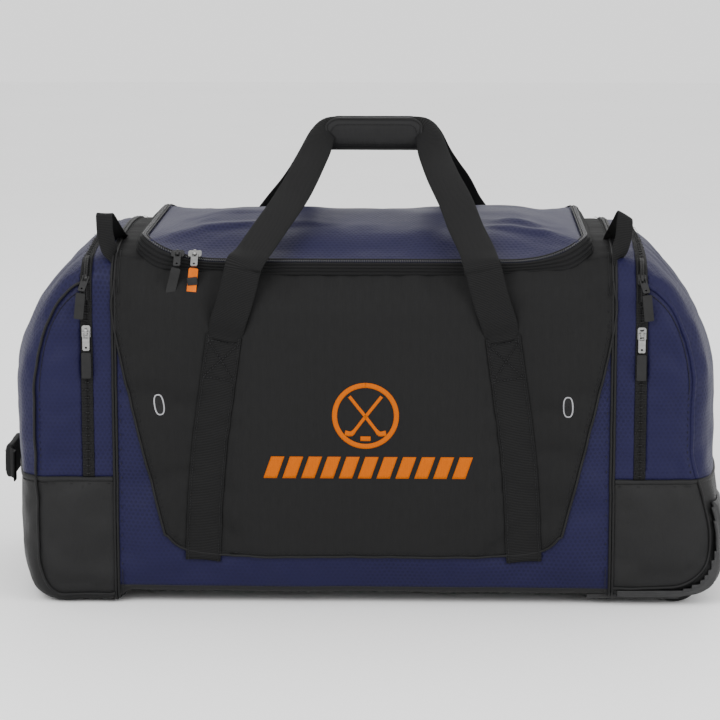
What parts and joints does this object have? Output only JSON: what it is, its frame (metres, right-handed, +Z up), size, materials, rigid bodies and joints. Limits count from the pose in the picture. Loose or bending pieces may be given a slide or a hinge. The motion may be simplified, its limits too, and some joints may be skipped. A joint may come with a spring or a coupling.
{
  "type": "wheeled hockey equipment bag",
  "caption": "Soft-sided wheeled hockey equipment bag with a domed zip lid, zipped end pockets, webbing carry handles under a padded wrap, an end pull handle and corner wheels.",
  "frame": {"origin": "bottom centre of the whole object's box, on the floor", "axes": "+X along the bag towards the wheels, +Y towards the rear panel, +Z up; the front panel faces -Y"},
  "size_m": [0.955, 0.4766, 0.614],
  "materials": {
    "black_fabric": "woven polyester, matt",
    "navy_fabric": "ripstop nylon with a hexagon weave, slight sheen",
    "black_webbing": "woven polypropylene webbing",
    "grip_fabric": "padded polyester",
    "piping": "cord piping, satin",
    "zip_coil": "nylon coil zip and woven tape",
    "board": "ribbed polyethylene board",
    "moulded_plastic": "moulded nylon, fine grain",
    "tyre_rubber": "soft polyurethane tread",
    "hub_plastic": "moulded nylon",
    "bearing_steel": "ground steel",
    "axle_steel": "zinc-plated steel",
    "screw_steel": "zinc-plated steel",
    "pull_zinc": "die-cast zinc, nickel-plated",
    "slider_black": "black enamelled zinc",
    "tab_rubber": "moulded rubber",
    "tab_orange": "orange moulded rubber",
    "grommet": "moulded oval vent"
  },
  "bodies": {
    "bag": {"main_body_walls": "navy_fabric", "bottom_panel": "black_fabric", "top_yoke": "black_fabric", "front_panel": "black_fabric", "rear_panel": "black_fabric", "vent_grommets": "grommet", "base_board": "board", "pocket_dividers": "black_fabric", "seam_piping": "piping", "body_zip": "zip_coil", "left_pocket_base": "black_fabric", "left_pocket_gusset": "navy_fabric", "left_zip_inner": "zip_coil", "right_pocket_base": "black_fabric", "right_pocket_gusset": "navy_fabric", "right_zip_inner": "zip_coil", "sewn_straps": "black_webbing", "end_handle_strap": "black_webbing", "end_handle_grip": "grip_fabric", "wheel_housings": "moulded_plastic", "axles": "axle_steel", "housing_screws": "screw_steel"},
    "lid": {"lid": "navy_fabric", "lid_zip": "zip_coil", "main_left_slider": "slider_black"},
    "lid_slider": {"main_right_slider": "pull_zinc"},
    "lid_slider_pull": {"main_right_pull": "pull_zinc", "main_right_tab": "tab_orange"},
    "parked_pull": {"main_left_pull": "slider_black", "main_left_tab": "tab_rubber"},
    "front_riser": {"front_riser": "black_webbing"},
    "front_loop": {"front_handle_loop": "black_webbing", "front_grip": "grip_fabric"},
    "rear_riser": {"rear_riser": "black_webbing"},
    "rear_loop": {"rear_handle_loop": "black_webbing", "rear_grip": "grip_fabric"},
    "front_wheel": {"front_tyre": "tyre_rubber", "front_hub": "hub_plastic", "front_bearings": "bearing_steel"},
    "rear_wheel": {"rear_tyre": "tyre_rubber", "rear_hub": "hub_plastic", "rear_bearings": "bearing_steel"},
    "left_flap": {"left_pocket_flap": "navy_fabric", "left_zip_outer": "zip_coil"},
    "left_loop": {"left_top_loop": "black_webbing"},
    "left_lower_slider": {"left_lower_slider": "pull_zinc"},
    "left_lower_pull": {"left_lower_pull": "pull_zinc", "left_lower_tab": "tab_rubber"},
    "left_upper_slider": {"left_upper_slider": "slider_black"},
    "left_upper_pull": {"left_upper_pull": "slider_black", "left_upper_tab": "tab_rubber"},
    "right_flap": {"right_pocket_flap": "navy_fabric", "right_zip_outer": "zip_coil"},
    "right_loop": {"right_top_loop": "black_webbing"},
    "right_lower_slider": {"right_lower_slider": "pull_zinc"},
    "right_lower_pull": {"right_lower_pull": "pull_zinc", "right_lower_tab": "tab_rubber"},
    "right_upper_slider": {"right_upper_slider": "slider_black"},
    "right_upper_pull": {"right_upper_pull": "slider_black", "right_upper_tab": "tab_rubber"}
  },
  "joints": [
    {"name": "lid_open", "type": "hinge", "parent": "bag", "child": "lid", "pos_m": [0.0095, 0.196, 0.452], "axis": [-1, 0, 0], "range_deg": [0, 90]},
    {"name": "front_riser_fold", "type": "hinge", "parent": "bag", "child": "front_riser", "pos_m": [0.0095, -0.2197, 0.352], "axis": [1, 0, 0], "range_deg": [0, 130]},
    {"name": "front_handle_fold", "type": "hinge", "parent": "front_riser", "child": "front_loop", "pos_m": [0.0095, -0.237, 0.446], "axis": [1, 0, 0], "range_deg": [0, 90]},
    {"name": "rear_riser_fold", "type": "hinge", "parent": "bag", "child": "rear_riser", "pos_m": [0.0095, 0.2197, 0.352], "axis": [-1, 0, 0], "range_deg": [0, 130]},
    {"name": "rear_handle_fold", "type": "hinge", "parent": "rear_riser", "child": "rear_loop", "pos_m": [0.0095, 0.237, 0.446], "axis": [-1, 0, 0], "range_deg": [0, 90]},
    {"name": "lid_slider_run", "type": "slide", "parent": "lid", "child": "lid_slider", "axis": [1, 0, 0], "range_m": [0, 0.43]},
    {"name": "lid_slider_pull_swing", "type": "hinge", "parent": "lid_slider", "child": "lid_slider_pull", "pos_m": [-0.2065, -0.20166, 0.45874], "axis": [-1, 0, 0], "range_deg": [0, 120]},
    {"name": "parked_pull_swing", "type": "hinge", "parent": "lid", "child": "parked_pull", "pos_m": [-0.2285, -0.20166, 0.45874], "axis": [-1, 0, 0], "range_deg": [0, 120]},
    {"name": "left_flap_open", "type": "hinge", "parent": "bag", "child": "left_flap", "pos_m": [-0.4585, 0, 0.168], "axis": [0, -1, 0], "range_deg": [0, 50]},
    {"name": "left_loop_fold", "type": "hinge", "parent": "bag", "child": "left_loop", "pos_m": [-0.3105, -0.128, 0.4426], "axis": [0, 1, 0], "range_deg": [0, 69]},
    {"name": "left_lower_slider_run", "type": "slide", "parent": "bag", "child": "left_lower_slider", "axis": [0, 0, -1], "range_m": [0, 0.17]},
    {"name": "left_lower_pull_swing", "type": "hinge", "parent": "left_lower_slider", "child": "left_lower_pull", "pos_m": [-0.3455, -0.222, 0.358], "axis": [-1, 0, 0], "range_deg": [0, 100]},
    {"name": "left_upper_slider_run", "type": "hinge", "parent": "bag", "child": "left_upper_slider", "pos_m": [-0.3455, -0.181, 0.399], "axis": [-1, 0, 0], "range_deg": [0, 40]},
    {"name": "left_upper_pull_swing", "type": "hinge", "parent": "left_upper_slider", "child": "left_upper_pull", "pos_m": [-0.3455, -0.20999, 0.42799], "axis": [-0.9781, 0.147, 0.147], "range_deg": [0, 100]},
    {"name": "right_flap_open", "type": "hinge", "parent": "bag", "child": "right_flap", "pos_m": [0.4775, 0, 0.168], "axis": [0, 1, 0], "range_deg": [0, 50]},
    {"name": "right_loop_fold", "type": "hinge", "parent": "bag", "child": "right_loop", "pos_m": [0.3295, -0.128, 0.4426], "axis": [0, -1, 0], "range_deg": [0, 69]},
    {"name": "right_lower_slider_run", "type": "slide", "parent": "bag", "child": "right_lower_slider", "axis": [0, 0, -1], "range_m": [0, 0.17]},
    {"name": "right_lower_pull_swing", "type": "hinge", "parent": "right_lower_slider", "child": "right_lower_pull", "pos_m": [0.3645, -0.222, 0.358], "axis": [-1, 0, 0], "range_deg": [0, 100]},
    {"name": "right_upper_slider_run", "type": "hinge", "parent": "bag", "child": "right_upper_slider", "pos_m": [0.3645, -0.181, 0.399], "axis": [-1, 0, 0], "range_deg": [0, 40]},
    {"name": "right_upper_pull_swing", "type": "hinge", "parent": "right_upper_slider", "child": "right_upper_pull", "pos_m": [0.3645, -0.20999, 0.42799], "axis": [-0.9781, -0.147, -0.147], "range_deg": [0, 100]},
    {"name": "front_wheel_spin", "type": "hinge", "parent": "bag", "child": "front_wheel", "pos_m": [0.4135, -0.176, 0.038], "axis": [0, 1, 0], "continuous": true},
    {"name": "rear_wheel_spin", "type": "hinge", "parent": "bag", "child": "rear_wheel", "pos_m": [0.4135, 0.176, 0.038], "axis": [0, 1, 0], "continuous": true}
  ],
  "couplings": [
    {"joint": "front_riser_fold", "follows": "lid_open", "ratio": 1.4},
    {"joint": "front_handle_fold", "follows": "lid_open", "ratio": 0.98},
    {"joint": "rear_riser_fold", "follows": "lid_open", "ratio": 1.4},
    {"joint": "rear_handle_fold", "follows": "lid_open", "ratio": 0.98}
  ]
}
